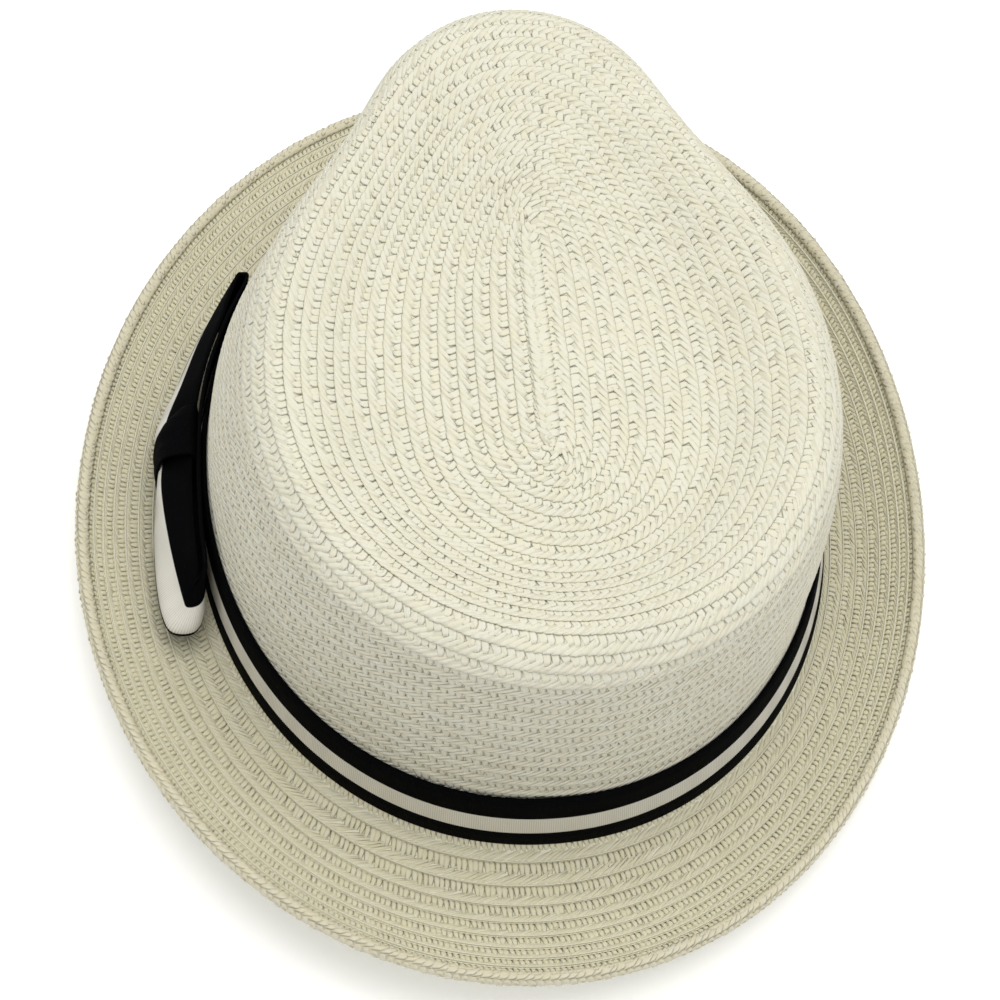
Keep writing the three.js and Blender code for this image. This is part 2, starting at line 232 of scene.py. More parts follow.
class RibbonSettings(bpy.types.PropertyGroup):
    """Sizes and colours of the grosgrain ribbon."""

    thickness: mm_value("Thickness", "Thickness of the ribbon", 0.9)
    rib: mm_value("Rib pitch", "Distance between the ribs of the weave", 0.6)
    relief: mm_value("Rib height", "How far a rib stands up", 0.05)
    stripe_low: share_value("Stripe start", "Share of the width under the stripe", 0.26)
    stripe_high: share_value("Stripe end", "Share of the width up to the stripe's top", 0.585)
    black: colour_value("Black", "Colour of the ribbon", (0.0014, 0.0015, 0.0019))
    cream: colour_value("Cream", "Colour of the stripe", (0.84, 0.81, 0.73))


class StageSettings(bpy.types.PropertyGroup):
    """Floor, light and camera."""

    floor: colour_value("Floor", "Colour of the floor", (0.92, 0.92, 0.92))
    glow: number_value("Floor glow", "Light that the floor gives off", 0.24)
    key: number_value("Key light", "Power of the light overhead", 12.0, unit="POWER")
    fill: number_value("Fill light", "Power of the light behind", 0.6, unit="POWER")
    sky: number_value("Sky", "Strength of the light from all around", 0.62)
    eye: place_value("Camera", "Place of the camera", (0.0799, 0.3452, 0.6179))
    target: place_value("Target", "Point that the camera looks at", (0.00507, 0.0185, 0.04))
    roll: degree_value("Roll", "Turn of the camera about its view", 8.78)
    lens: number_value("Lens", "Focal length on a 36 mm sensor", 91.8)


class Wire:
    """A socket of a node tree that takes part in sums."""

    def __init__(self, board, socket):
        self.board = board
        self.socket = socket

    def __add__(self, other):
        return self.board.math("ADD", self, other)

    def __sub__(self, other):
        return self.board.math("SUBTRACT", self, other)

    def __rsub__(self, other):
        return self.board.math("SUBTRACT", other, self)

    def __mul__(self, other):
        return self.board.math("MULTIPLY", self, other)

    def __gt__(self, other):
        return self.board.math("GREATER_THAN", self, other)

    def __lt__(self, other):
        return self.board.math("LESS_THAN", self, other)

    __radd__ = __add__
    __rmul__ = __mul__


class Board:
    """Adds nodes to a tree: settings first, then the values or links of the sockets."""

    def __init__(self, tree):
        self.tree = tree

    def node(self, kind, settings=None, sockets=None, output=0):
        made = self.tree.nodes.new(kind)
        for name, value in (settings or {}).items():
            setattr(made, name, value)
        for key, value in (sockets or {}).items():
            if isinstance(value, Wire):
                self.tree.links.new(value.socket, made.inputs[key])
            else:
                made.inputs[key].default_value = value
        return Wire(self, made.outputs[output]) if made.outputs else made

    def math(self, operation, *values):
        return self.node("ShaderNodeMath", {"operation": operation}, dict(enumerate(values)))

    def mix(self, factor, first, second):
        sockets = {"Factor": factor, 6: first, 7: second}
        return self.node("ShaderNodeMix", {"data_type": "RGBA"}, sockets, 2)

    def attribute(self, name):
        return self.node("ShaderNodeAttribute", {"attribute_name": name}, None, "Fac")


def signed_power(value, power):
    return np.sign(value) * np.abs(value) ** power


def around(t, front, side, back):
    """Blend of the values at the front, sides and back for angles around the hat."""
    end = np.where(np.cos(t) > 0, front, back)
    return side + (end - side) * np.cos(t) ** 2


def unit(vectors):
    return vectors / np.maximum(np.linalg.norm(vectors, axis=-1, keepdims=True), 1e-12)


def crown_section(name, t):
    row = dict(zip(CROWN_COLUMNS, CROWN_SECTIONS[name]))
    forward = signed_power(np.cos(t), 2 / SQUARENESS)
    sideways = signed_power(np.sin(t), 2 / SQUARENESS)
    from_front = np.arctan2(np.abs(np.sin(t)), np.cos(t))
    narrowing = row["narrow"] * ((1 + np.cos(t)) / 2) ** NOSE_POWER
    pinch = row["pinch"] * np.exp(-(((from_front - PINCH_ANGLE) / PINCH_SPREAD) ** 2))
    reach = np.where(forward > 0, row["front"], row["back"])
    x = row["width"] * sideways * (1 - narrowing) - pinch * np.sign(sideways) + CROWN_X + row["lean"]
    y = -reach * forward + CROWN_Y
    return np.stack([x, y, around(t, row["z_front"], row["z_side"], row["z_back"])], axis=-1)


def smooth_step(points, i, share, closed=False, dims=3):
    """Point on the centripetal curve through a list of points, a share of the way after number i."""
    count = len(points)

    def near(k):
        if closed:
            return points[k % count]
        if k < 0:
            return 2 * points[0] - points[1]
        if k >= count:
            return 2 * points[-1] - points[-2]
        return points[k]

    def spacing(a, b):
        return np.sqrt(np.linalg.norm((b - a)[..., :dims], axis=-1, keepdims=True))

    p0, p1, p2, p3 = (near(i + k) for k in (-1, 0, 1, 2))
    d0, d1, d2 = spacing(p0, p1), spacing(p1, p2), spacing(p2, p3)
    m1 = ((p1 - p0) / d0 - (p2 - p0) / (d0 + d1) + (p2 - p1) / d1) * d1
    m2 = ((p2 - p1) / d1 - (p3 - p1) / (d1 + d2) + (p3 - p2) / d2) * d1
    a = share
    return p1 + m1 * a + (3 * (p2 - p1) - 2 * m1 - m2) * a**2 + (2 * (p1 - p2) + m1 + m2) * a**3


def crown_profile(t, stops):
    """Points up the crown for each angle: one row for each stop, counted in sections from the foot."""
    sections = [crown_section(name, t) for name in CROWN_SECTIONS]
    rows = []
    for stop in stops:
        i = min(int(stop), len(sections) - 2)
        rows.append(smooth_step(sections, i, stop - i))
    return np.array(rows)


def respaced(columns, count, narrowing=0.0):
    """The same columns of points with count + 1 levels along each, closer at the end by the narrowing."""
    steps = np.linalg.norm(np.diff(columns, axis=0), axis=-1)
    lengths = np.concatenate([np.zeros((1, columns.shape[1])), np.cumsum(steps, axis=0)])
    made = np.empty((count + 1, columns.shape[1], 3))
    shares = np.linspace(0, 1, count + 1)
    shares += narrowing * shares * (1 - shares)
    for j in range(columns.shape[1]):
        goal = lengths[-1, j] * shares
        for axis in range(3):
            made[:, j, axis] = np.interp(goal, lengths[:, j], columns[:, j, axis])
    return made


class Surface:
    """A grid of points around the hat, read by row number and angle. A row below zero is across the core."""

    def __init__(self, grid, core=False):
        self.grid = grid
        self.core = core
        self.across = np.gradient(grid, axis=0) * LEVELS_PER_ROW
        along = np.roll(grid, -1, axis=1) - np.roll(grid, 1, axis=1)
        self.normals = unit(np.cross(self.across, along))
        if core:
            self.normals[0] = self.normals[1]

    def read(self, field, s, t):
        t = np.where((s < 0) & self.core, -t, t) % TURN
        s = np.abs(s) if self.core else np.maximum(s, 0)
        level = np.minimum(s * LEVELS_PER_ROW, len(self.grid) - 1.001)
        place = t / TURN * self.grid.shape[1]
        k, j = level.astype(int), place.astype(int)
        a, b = (level - k)[:, None], (place - j)[:, None]
        j, jn = j % self.grid.shape[1], (j + 1) % self.grid.shape[1]
        low = field[k, j] * (1 - b) + field[k, jn] * b
        high = field[k + 1, j] * (1 - b) + field[k + 1, jn] * b
        return low * (1 - a) + high * a

    def at(self, s, t):
        return self.read(self.grid, s, t)

    def normal(self, s, t):
        return unit(self.read(self.normals, s, t))

    def moved(self, distance):
        return Surface(self.grid + self.normals * distance)


def angles():
    return np.arange(ANGLES) / ANGLES * TURN


def drop_tree(sheet):
    """A grid of points around the hat as a sheet that points can be dropped on."""
    return BVHTree.FromPolygons([tuple(p) for p in sheet.reshape(-1, 3)], grid_faces(*sheet.shape[:2]))


def crown_surface(tip_rows, wall_rows):
    """The crown's outer face, in rows from the core over the rim to the foot."""
    t = angles()
    tip = crown_profile(t, np.linspace(RIM_STOP - 1, CORE_STOP, 120))
    line = tip[-1].copy()
    line[:, 0] = CORE_X
    tree = drop_tree(np.concatenate([tip, line[None]]))
    rim = crown_section("rim", t)
    along = CORE_HALF_LENGTH * np.tanh((rim[:, 1] - CORE_Y) / CORE_HALF_LENGTH)
    start = np.stack([np.full(ANGLES, CORE_X), CORE_Y + along], axis=-1)
    columns = []
    for share in np.linspace(0, 1, 60):
        flat = start * (1 - share) + rim[:, :2] * share
        ring = []
        for x, y in flat:
            hit = tree.ray_cast(Vector((x, y, ABOVE_HAT)), DOWN)[0]
            ring.append((x, y, hit.z))
        columns.append(ring)
    tip_grid = respaced(np.array(columns), tip_rows * LEVELS_PER_ROW)
    wall = crown_profile(t, np.linspace(RIM_STOP, 0, 80))
    wall_grid = respaced(wall, wall_rows * LEVELS_PER_ROW)
    return Surface(np.concatenate([tip_grid, wall_grid[1:]]), True)


def brim_frame(t):
    """Foot, direction out, width and rise of the brim's section at each angle."""
    foot = crown_section("foot", t)
    reach = np.where(np.cos(t) > 0, BRIM_FRONT, BRIM_BACK)
    x = BRIM_HALF_WIDTH * np.sin(t)
    y = (BRIM_FRONT - BRIM_BACK) / 2 - reach * np.cos(t)
    edge = np.stack([
        x * math.cos(BRIM_TURN) - y * math.sin(BRIM_TURN),
        x * math.sin(BRIM_TURN) + y * math.cos(BRIM_TURN),
    ], axis=-1)
    across = edge - foot[:, :2]
    width = np.linalg.norm(across, axis=-1)
    rise = around(t, RISE_FRONT, RISE_SIDE, RISE_BACK) + RISE_SKEW * np.sin(2 * t)
    return foot, across / width[:, None], width, rise


def brim_surface(rows):
    """The brim's upper face, in rows from the collar to the edge."""
    foot, out, width, rise = brim_frame(angles())
    columns = []
    for turn in np.linspace(0, math.pi / 2, 5)[:-1]:
        distance = np.full(ANGLES, COLLAR_RADIUS * (1 - math.cos(turn)))
        columns.append((distance, np.full(ANGLES, STRAW_THICKNESS + COLLAR_RADIUS * (1 - math.sin(turn)))))
    for share in np.linspace(0, 1, 60):
        distance = COLLAR_RADIUS + (width - COLLAR_RADIUS) * share
        curl = np.clip((distance / width - FLAT_SHARE) / (1 - FLAT_SHARE), 0, 1)
        columns.append((distance, STRAW_THICKNESS + rise * curl**CURL_POWER))
    grid = np.array([
        np.column_stack([foot[:, :2] + out * distance[:, None], height]) for distance, height in columns
    ])
    return Surface(respaced(grid, rows * LEVELS_PER_ROW, ROW_NARROWING))


def lip_surface(brim, radius):
    """The roll along the brim's edge, in two rows from the top over the outside to the underside."""
    edge = brim.grid[-1]
    up = brim.normals[-1]
    out = unit(brim.across[-1])
    middle = edge - up * STRAW_THICKNESS / 2
    levels = []
    for turn in np.linspace(ROLL_FROM, ROLL_TO, 2 * LEVELS_PER_ROW + 1):
        levels.append(middle + radius * (up * math.sin(turn) + out * math.cos(turn)))
    return Surface(np.array(levels))


def spiral_row(t):
    """Row number along the crown's spiral: each turn moves out by one row behind the core."""
    share = np.clip(((t % TURN) - 0.75 * math.pi) / (0.5 * math.pi), 0, 1)
    return np.floor(t / TURN) + share * share * (3 - 2 * share)


class Strands:
    """Places of the strands and row edges of a braid, collected row by row."""

    def __init__(self, surface, braid, heading=1, pitch=None, flat_from=None):
        self.surface = surface
        self.braid = braid
        self.heading = heading
        self.pitch = (pitch or braid.pitch) / MM
        self.flat_from = flat_from
        self.parts = []
        self.edges = []
        self.tapes = []

    def add_row(self, t, s, keep=None, outer=(1.02, 0.42), inner=(-0.15, 0.56), step=None):
        """Strands along a path given by angles and row numbers, where keep says that a place is used."""
        b, surface = self.braid, self.surface
        step = b.step / MM if step is None else step
        path = surface.at(s, t)
        length = np.concatenate([[0], np.cumsum(np.linalg.norm(np.diff(path, axis=0), axis=-1))])
        count = max(int(round(length[-1] / self.pitch)), 3)
        places = (np.arange(count) + 0.5) / count * length[-1]
        tangents = np.gradient(path, axis=0)
        tt, ss = np.interp(places, length, t), np.interp(places, length, s)
        tangent = np.column_stack([np.interp(places, length, tangents[:, k]) for k in range(3)])
        middle = surface.normal(ss, tt)
        tangent = unit(tangent - middle * (tangent * middle).sum(-1, keepdims=True)) * self.heading
        used = np.ones(count, bool) if keep is None else keep(surface.at(ss, tt))
        for flag, (start, end) in enumerate((outer, inner)):
            ends = []
            reach = abs(end - start) * np.linalg.norm(surface.read(surface.across, ss, tt), axis=-1)
            slant = np.full(count, b.inner_slant if flag else b.slant)
            if self.flat_from and not flag:
                slant += (b.wall_slant - b.slant) * np.clip(ss - self.flat_from, 0, 1)
            lead = reach * np.tan(slant)
            for share, move in ((start, -lead), (end, 0 * lead)):
                level = step * self.height(share, ss) + STRAND_LIFT
                point = surface.at(ss + share - 0.5, tt)
                ends.append(point + tangent * move[:, None] + middle * level[:, None])
            along = ends[1] - ends[0]
            size = np.column_stack([
                np.linalg.norm(along, axis=-1),
                self.pitch * STRAND_OVERLAP * np.cos(slant),
                np.full(count, b.height / MM),
            ])
            flags = np.full(count, flag)
            self.parts.append([field[used] for field in (ends[0], along, middle, size, flags)])
        self.add_edge(tt[used], ss[used], step)
        if step > 0:
            every = max(int(round(TAPE_STATION / self.pitch)), 1)
            self.add_tape(tt[::every], ss[::every], used[::every], step)

    def add_column(self, roots, tips, up):
        """Outer strands between two lines of points."""
        along = tips - roots
        length = np.linalg.norm(along, axis=-1)
        width = np.full(len(along), self.pitch * STRAND_OVERLAP * math.cos(self.braid.slant))
        size = np.column_stack([length, width, np.full(len(along), self.braid.height / MM)])
        self.parts.append((roots, along, up, size, np.zeros(len(along))))

    def height(self, share, s):
        """Height of the tape at a place across the row, in steps: the first row lies flat on top."""
        flat = np.clip(1 - 2 * s, 0, 1) * self.surface.core
        return np.interp(share, *zip(*TAPE_TOP)) * (1 - flat) + FLAT_TAPE * flat

    def add_tape(self, t, s, used, step):
        normal = self.surface.normal(s, t)
        section = []
        for share, drop in (*TAPE_TOP, *TAPE_UNDER):
            level = self.height(share, s) if (share, drop) in TAPE_TOP else np.full(len(s), drop)
            section.append(self.surface.at(s + share - 0.5, t) + normal * (step * level)[:, None])
        section = np.array(section).transpose(1, 0, 2)
        if used.all():
            self.tapes.append((section, not self.surface.core))
            return
        for run in np.split(np.arange(len(t)), np.flatnonzero(np.diff(used.astype(int))) + 1):
            if used[run[0]] and len(run) > 2:
                self.tapes.append((section[run], False))

    def add_edge(self, t, s, step):
        normal = self.surface.normal(s, t)
        self.edges.append(self.surface.at(s + 0.5, t) + normal * (step + STRAND_LIFT))

    def fields(self):
        return [np.concatenate([part[k] for part in self.parts]) for k in range(5)]


def grid_faces(rows, columns):
    """Quads between the rings of a grid of points, turned to look along row step x column step."""
    faces = []
    for row in range(rows - 1):
        for j in range(columns):
            a, b = row * columns + j, row * columns + (j + 1) % columns
            faces.append((a, a + columns, b + columns, b))
    return faces


def new_piece(name, points, faces, material=None, edges=()):
    """Mesh object at the origin from points in millimetres."""
    mesh = bpy.data.meshes.new(name)
    mesh.from_pydata([tuple(p) for p in np.asarray(points, float) * MM], edges, faces)
    if material:
        mesh.materials.append(material)
    if faces:
        mesh.polygons.foreach_set("use_smooth", [True] * len(mesh.polygons))
    piece = bpy.data.objects.new(name, mesh)
    bpy.context.scene.collection.objects.link(piece)
    return piece


def closed_up(piece):
    """Merges the doubled points of a piece and turns its faces outward."""
    work = bmesh.new()
    work.from_mesh(piece.data)
    bmesh.ops.remove_doubles(work, verts=work.verts, dist=2e-5)
    bmesh.ops.dissolve_degenerate(work, dist=1e-6, edges=work.edges)
    bmesh.ops.recalc_face_normals(work, faces=work.faces)
    work.to_mesh(piece.data)
    work.free()
    return piece


def finished(piece, slot, *nodes):
    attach(piece, ROOT)
    if nodes:
        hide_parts(*nodes)
    return piece


def strand_shape(name, bend, stations, section, material):
    """One strand of the braid, of unit length, width and height, with a field that tells its ridge, which the
    straw's colour uses for painted shade.
    """
    points, ridge = [], []
    for x, half, top in stations:
        y = bend * 4 * x * (1 - x)
        # The ridge field is lower at the strand's two ends, which paints shade where it dives under the next
        # strand
        end = 1.0 if 0 < x < 1 else 0.4
        points.append((x, y - half, STRAND_FOOT))
        points += [(x, y + half * share, top * level) for share, level in section]
        points.append((x, y + half, STRAND_FOOT))
        ridge += [0.0, *(end * level for share, level in section), 0.0]
    size = len(section) + 2
    faces = []
    for k in range(0, len(points) - size, size):
        for a in range(size):
            b = (a + 1) % size
            faces.append((k + a, k + size + a, k + size + b, k + b))
    last = len(points) - size
    faces += [tuple(range(size)), tuple(last + k for k in reversed(range(size)))]
    shape = closed_up(new_piece(name, np.array(points) / MM, faces, material))
    set_fields(shape.data, ridge=ridge)
    return shape


def set_fields(mesh, **fields):
    """Stores vectors and numbers for the points of a mesh."""
    for name, values in fields.items():
        values = np.asarray(values, np.float32)
        vector = values.ndim == 2
        field = mesh.attributes.new(name, "FLOAT_VECTOR" if vector else "FLOAT", "POINT")
        field.data.foreach_set("vector" if vector else "value", values.ravel())


def braid_tree(braid):
    """Geometry nodes that lay a strand on each point and join them into one mesh."""
    tree = bpy.data.node_groups.new("lay strands", "GeometryNodeTree")
    face = tree.interface
    face.new_socket("Geometry", in_out="OUTPUT", socket_type="NodeSocketGeometry")
    face.new_socket("Geometry", in_out="INPUT", socket_type="NodeSocketGeometry")
    for name, kind, value in (
        ("Outer strand", "NodeSocketObject", None),
        ("Inner strand", "NodeSocketObject", None),
        ("Unevenness", "NodeSocketFloat", braid.jitter),
        ("Twist", "NodeSocketFloat", braid.twist),
        ("Seed", "NodeSocketInt", braid.seed),
        ("Material", "NodeSocketMaterial", None),
    ):
        socket = face.new_socket(name, in_out="INPUT", socket_type=kind)
        if value is not None:
            socket.default_value = value
    board = Board(tree)
    entry = tree.nodes.new("NodeGroupInput")
    given = {s.name: Wire(board, s) for s in entry.outputs if s.name}

    def field(name, kind="FLOAT_VECTOR"):
        return board.node("GeometryNodeInputNamedAttribute", {"data_type": kind}, {"Name": name})

    turned = board.node(
        "FunctionNodeAxesToRotation",
        {"primary_axis": "X", "secondary_axis": "Z"},
        {0: field("along"), 1: field("up")},
    )
    wobble = board.node(
        "FunctionNodeRandomValue",
        {"data_type": "FLOAT_VECTOR"},
        {0: (-1, -1, -1), 1: (1, 1, 1), "Seed": given["Seed"]},
    )
    vector = {"operation": "SCALE"}
    level = board.node("ShaderNodeVectorMath", {"operation": "MULTIPLY"}, {0: wobble, 1: (0.3, 0.12, 1.0)})
    wobble_angle = board.node("ShaderNodeVectorMath", vector, {0: level, "Scale": given["Twist"]})
    small_turn = board.node("FunctionNodeEulerToRotation", None, {0: wobble_angle})
    turned = board.node("FunctionNodeRotateRotation", {"rotation_space": "LOCAL"}, {0: turned, 1: small_turn})
    growth = board.node("ShaderNodeVectorMath", vector, {0: wobble, "Scale": given["Unevenness"]})
    growth = board.node("ShaderNodeVectorMath", {"operation": "ADD"}, {0: growth, 1: (1, 1, 1)})
    size = board.node("ShaderNodeVectorMath", {"operation": "MULTIPLY"}, {0: field("size"), 1: growth})
    inner = field("inner", "FLOAT") > 0.5
    joined = tree.nodes.new("GeometryNodeJoinGeometry")
    for name, chosen in (("Inner strand", inner), ("Outer strand", 1 - inner)):
        shape = board.node("GeometryNodeObjectInfo", None, {"Object": given[name]}, "Geometry")
        sockets = {"Points": given["Geometry"], "Selection": chosen, "Instance": shape}
        sockets |= {"Rotation": turned, "Scale": size}
        laid = board.node("GeometryNodeInstanceOnPoints", None, sockets)
        tree.links.new(laid.socket, joined.inputs[0])
    tone = board.node(
        "FunctionNodeRandomValue", {"data_type": "FLOAT"}, {2: 0.0, 3: 1.0, "Seed": given["Seed"]}, 1)
    stored = board.node(
        "GeometryNodeStoreNamedAttribute",
        {"data_type": "FLOAT", "domain": "INSTANCE"},
        {"Geometry": Wire(board, joined.outputs[0]), "Name": "tone", "Value": tone},
    )
    whole = board.node("GeometryNodeRealizeInstances", None, {"Geometry": stored})
    dressed = board.node(
        "GeometryNodeSetMaterial", None, {"Geometry": whole, "Material": given["Material"]})
    leave = tree.nodes.new("NodeGroupOutput")
    tree.links.new(dressed.socket, leave.inputs[0])
    return tree


def edge_tree(radius):
    """Geometry nodes that sweep a folded straw edge along the row lines."""
    tree = bpy.data.node_groups.new("fold row edges", "GeometryNodeTree")
    face = tree.interface
    face.new_socket("Geometry", in_out="OUTPUT", socket_type="NodeSocketGeometry")
    face.new_socket("Geometry", in_out="INPUT", socket_type="NodeSocketGeometry")
    face.new_socket("Radius", in_out="INPUT", socket_type="NodeSocketFloat").default_value = radius
    face.new_socket("Material", in_out="INPUT", socket_type="NodeSocketMaterial")
    board = Board(tree)
    entry = tree.nodes.new("NodeGroupInput")
    given = {s.name: Wire(board, s) for s in entry.outputs if s.name}
    line = board.node("GeometryNodeMeshToCurve", None, {"Mesh": given["Geometry"]})
    ring = board.node(
        "GeometryNodeCurvePrimitiveCircle", None, {"Resolution": 4, "Radius": given["Radius"]})
    cord = board.node(
        "GeometryNodeCurveToMesh", None, {"Curve": line, "Profile Curve": ring, "Fill Caps": True})
    cord = board.node("GeometryNodeSetShadeSmooth", None, {"Geometry": cord})
    whole = board.node("GeometryNodeRealizeInstances", None, {"Geometry": cord})
    dressed = board.node("GeometryNodeSetMaterial", None, {"Geometry": whole, "Material": given["Material"]})
    leave = tree.nodes.new("NodeGroupOutput")
    tree.links.new(dressed.socket, leave.inputs[0])
    return tree


def run_tree(piece, tree, values, drop=()):
    """Runs geometry nodes on a piece and keeps the result as its plain mesh."""
    modifier = piece.modifiers.new(tree.name, "NODES")
    modifier.node_group = tree
    names = {item.name: item.identifier for item in tree.interface.items_tree if item.in_out == "INPUT"}
    for name, value in values.items():
        modifier[names[name]] = value
    bpy.context.view_layer.update()
    depsgraph = bpy.context.evaluated_depsgraph_get()
    mesh = bpy.data.meshes.new_from_object(piece.evaluated_get(depsgraph))
    piece.modifiers.clear()
    old = piece.data
    piece.data = mesh
    bpy.data.meshes.remove(old)
    mesh.name = piece.name
    for name in drop:
        if name in mesh.attributes:
            mesh.attributes.remove(mesh.attributes[name])
    return piece


def laid_braid(name, strands, chosen, material, seed, creased=False, twist=0.5):
    """One piece of braid from the chosen strands."""
    start, along, up, size, inner = (field[chosen] for field in strands.fields())
    braid = strands.braid
    piece = new_piece(name, start, [])
    set_fields(piece.data, along=along * MM, up=up, size=size * MM, inner=inner)
    section = CREASED_SECTION if creased else SMALL_SECTION
    leaf, arm = (LEAF_STATIONS, ARM_STATIONS) if creased else (SMALL_LEAF_STATIONS, SMALL_ARM_STATIONS)
    shapes = [
        strand_shape("outer strand", LEAF_BEND, leaf, section, material),
        strand_shape("inner strand", ARM_BEND, arm, section, material),
    ]
    values = {"Outer strand": shapes[0], "Inner strand": shapes[1], "Material": material}
    values |= {"Seed": seed, "Twist": braid.twist * twist}
    run_tree(piece, braid_tree(braid), values, ("along", "up", "size", "inner"))
    for shape in shapes:
        mesh = shape.data
        bpy.data.objects.remove(shape)
        bpy.data.meshes.remove(mesh)
    return piece


def core_strip(strands, material):
    """The flat strip that starts the braid at the middle of the tip, with its two columns of strands."""
    tree = drop_tree(strands.surface.grid[: 4 * LEVELS_PER_ROW])

    def ground(u, y):
        """Point and normal of the tip below a place that lies u half widths from the strip's middle."""
        above = Vector((CORE_X + u * CORE_STRIP_HALF, y, ABOVE_HAT))
        point, normal = tree.ray_cast(above, DOWN)[:2]
        return np.array(point), np.array(normal) * np.sign(normal.z)

    sections = []
    for share in np.linspace(-1, 1, CORE_STATIONS):
        y = CORE_Y + share * (CORE_HALF_LENGTH + 1)
        narrow = math.sqrt(max(1 - abs(share) ** 16, 0.02))
        sections.append([ground(u * narrow, y)[0] + (0, 0, top) for u, top in CORE_TAPE])
    low, high = CORE_Y - CORE_HALF_LENGTH, CORE_Y + CORE_HALF_LENGTH
    for side, shift in ((-1, 0.0), (1, 0.5)):
        roots, tips, ups = [], [], []
        for y in np.arange(low + shift * strands.pitch, high, strands.pitch):
            root, up = ground(side * CORE_STRAND_FROM, max(y - CORE_LEAD, low))
            tip = ground(side * CORE_STRAND_TO, y)[0]
            roots.append(root + up * CORE_STRAND_FOOT)
            tips.append(tip + up * CORE_STRIP_TOP)
            ups.append(up)
        strands.add_column(np.array(roots), np.array(tips), np.array(ups))
    return braid_tape("crown_core_strip", [(np.array(sections), False)], material)


def braid_tape(name, tapes, material):
    """The sewn tape under the strands, as one closed strip for each run of it."""
    points, faces, start = [], [], 0
    for section, ring in tapes:
        count, size = section.shape[:2]
        points.append(section.reshape(-1, 3))
        for i in range(count if ring else count - 1):
            for k in range(size):
                a, b = start + i * size, start + (i + 1) % count * size
                m = (k + 1) % size
                faces.append((a + k, b + k, b + m, a + m))
        if not ring:
            faces.append(tuple(start + k for k in range(size)))
            faces.append(tuple(start + (count - 1) * size + k for k in reversed(range(size))))
        start += count * size
    return closed_up(new_piece(name, np.concatenate(points), faces, material))


def row_edges(name, strands, material):
    """The folded outer edges of all rows as one piece."""
    points, edges, start = [], [], 0
    for line in strands.edges:
        count = len(line)
        points.append(line)
        edges += [(start + k, start + (k + 1) % count) for k in range(count)]
        start += count
    piece = new_piece(name, np.concatenate(points), [], None, edges)
    tree = edge_tree(strands.braid.edge)
    return run_tree(piece, tree, {"Material": material})


def shell(name, outer, inner, material):
    """Closed wall between two grids of points."""
    rows, columns = outer.shape[:2]
    points = np.concatenate([outer.reshape(-1, 3), inner.reshape(-1, 3)])
    front = grid_faces(rows, columns)
    base = rows * columns
    back = [tuple(base + i for i in reversed(face)) for face in front]
    sides = []
    for row in (0, rows - 1):
        for j in range(columns):
            a, b = row * columns + j, row * columns + (j + 1) % columns
            sides.append((a, b, base + b, base + a))
    return closed_up(new_piece(name, points, front + back + sides, material))


def principled(colour, roughness, sheen, normal, board, specular=STRAW_SPECULAR):
    """Finishes a material: constants go on the shader's own sockets."""
    values = {"Base Color": colour, "Roughness": roughness, "Specular IOR Level": specular}
    values |= {"Sheen Weight": sheen, "Sheen Roughness": 0.4}
    if normal is not None:
        values["Normal"] = normal
    shader = board.node("ShaderNodeBsdfPrincipled", None, values)
    out = board.tree.nodes.new("ShaderNodeOutputMaterial")
    board.tree.links.new(shader.socket, out.inputs["Surface"])
    return shader.socket.node


def new_board(name):
    material = bpy.data.materials.new(name)
    material.use_nodes = True
    material.node_tree.nodes.clear()
    return material, Board(material.node_tree)


def object_noise(board, scale, detail=2.0):
    place = board.node("ShaderNodeTexCoord", None, None, "Object")
    return board.node("ShaderNodeTexNoise", None, {"Vector": place, "Scale": scale, "Detail": detail}, "Fac")


def raised(board, height, strength, millimetres):
    """Fine relief up to a height in millimetres, for a shader's normal."""
    sockets = {"Height": height, "Strength": strength, "Distance": millimetres * MM}
    return board.node("ShaderNodeBump", None, sockets)


def rgba(colour):
    return (*colour, 1.0)


def scaled(colour, *factors):
    """Colour times one factor, or times one for each channel."""
    return tuple(min(c * f, 1) for c, f in zip(colour, factors * (3 // len(factors))))


def straw_material(braid, name, lighting_tint, strands=True):
    """Paper straw: each strand its own tone, darker towards its sides and ends as painted shade, with a fine
    fibre grain.
    """
    material, board = new_board(name)
    grain = object_noise(board, 1900.0, 3.0)
    cloud = object_noise(board, 55.0)
    if strands:
        ridge, tone = board.attribute("ridge"), board.attribute("tone")
    else:
        ridge, tone = object_noise(board, 700.0), object_noise(board, 260.0)
        ridge = ridge * 0.3 + 0.72
    # Painted shade: with strands, the colour darkens from each strand's ridge to its sides and ends; without
    # them, random noise stands in for the ridge
    lit = board.node("ShaderNodeMapRange", None, {"Value": ridge * 0.9 + grain * 0.25, "From Max": 1.0})
    base = board.mix(lit, rgba(braid.painted_shade), rgba(braid.light))
    warm = scaled(braid.light, 1.0, 0.965, 0.86)
    pale = scaled(braid.light, 1.02, 1.03, 1.06)
    shade = board.mix(board.node("ShaderNodeMapRange", None, {"Value": tone}), rgba(warm), rgba(pale))
    base = board.mix(0.45, base, shade)
    # Random patches of the tint, which is painted light and shade for this zone of the hat
    patchy_zone_light = board.mix(cloud, rgba(scaled(lighting_tint, 0.92)), rgba(lighting_tint))
    multiply = {"data_type": "RGBA", "blend_type": "MULTIPLY"}
    base = board.node("ShaderNodeMix", multiply, {"Factor": 1.0, 6: base, 7: patchy_zone_light}, 2)
    knots = object_noise(board, 820.0, 2.0)
    bump = raised(board, grain * 0.4 + knots, 0.6, 0.3)
    principled(base, 0.7 + grain * 0.25, 0.1, bump, board)
    return material


def gap_material(braid, name, lift=1.0):
    """The closed straw wall seen between the strands, in a darker colour that is painted shade."""
    material, board = new_board(name)
    cloud = object_noise(board, 420.0)
    painted_shade = scaled(braid.gap, lift)
    base = board.mix(cloud, rgba(painted_shade), rgba(scaled(painted_shade, 1.15)))
    bump = raised(board, cloud, 0.5, 0.3)
    principled(base, 0.9 - cloud * 0.1, 0.0, bump, board)
    return material


